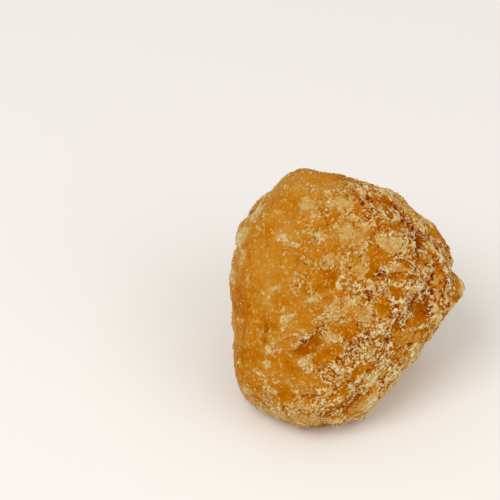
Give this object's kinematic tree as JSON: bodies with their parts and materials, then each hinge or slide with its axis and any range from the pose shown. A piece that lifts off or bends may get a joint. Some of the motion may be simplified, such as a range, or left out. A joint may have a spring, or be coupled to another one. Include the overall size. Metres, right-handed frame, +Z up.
{
  "type": "jaggery block",
  "caption": "Hand-sized rough lump of amber jaggery with one smooth waxy side, a crumbly crusted broad face and a flat resting spot.",
  "frame": {"origin": "on the resting surface, under the middle of the block's bounding box", "axes": "+Z up from the resting surface, +X to the right of the broad face, -Y the side from which the broad face is seen; the broad face points along -Y and is tipped up 42 degrees"},
  "size_m": [0.0686, 0.0674, 0.0613],
  "materials": {
    "jaggery": "waxy amber cane sugar under a dry, crumbly cream-coloured crust"
  },
  "bodies": {
    "root": {"jaggery_block": "jaggery"}
  },
  "joints": []
}
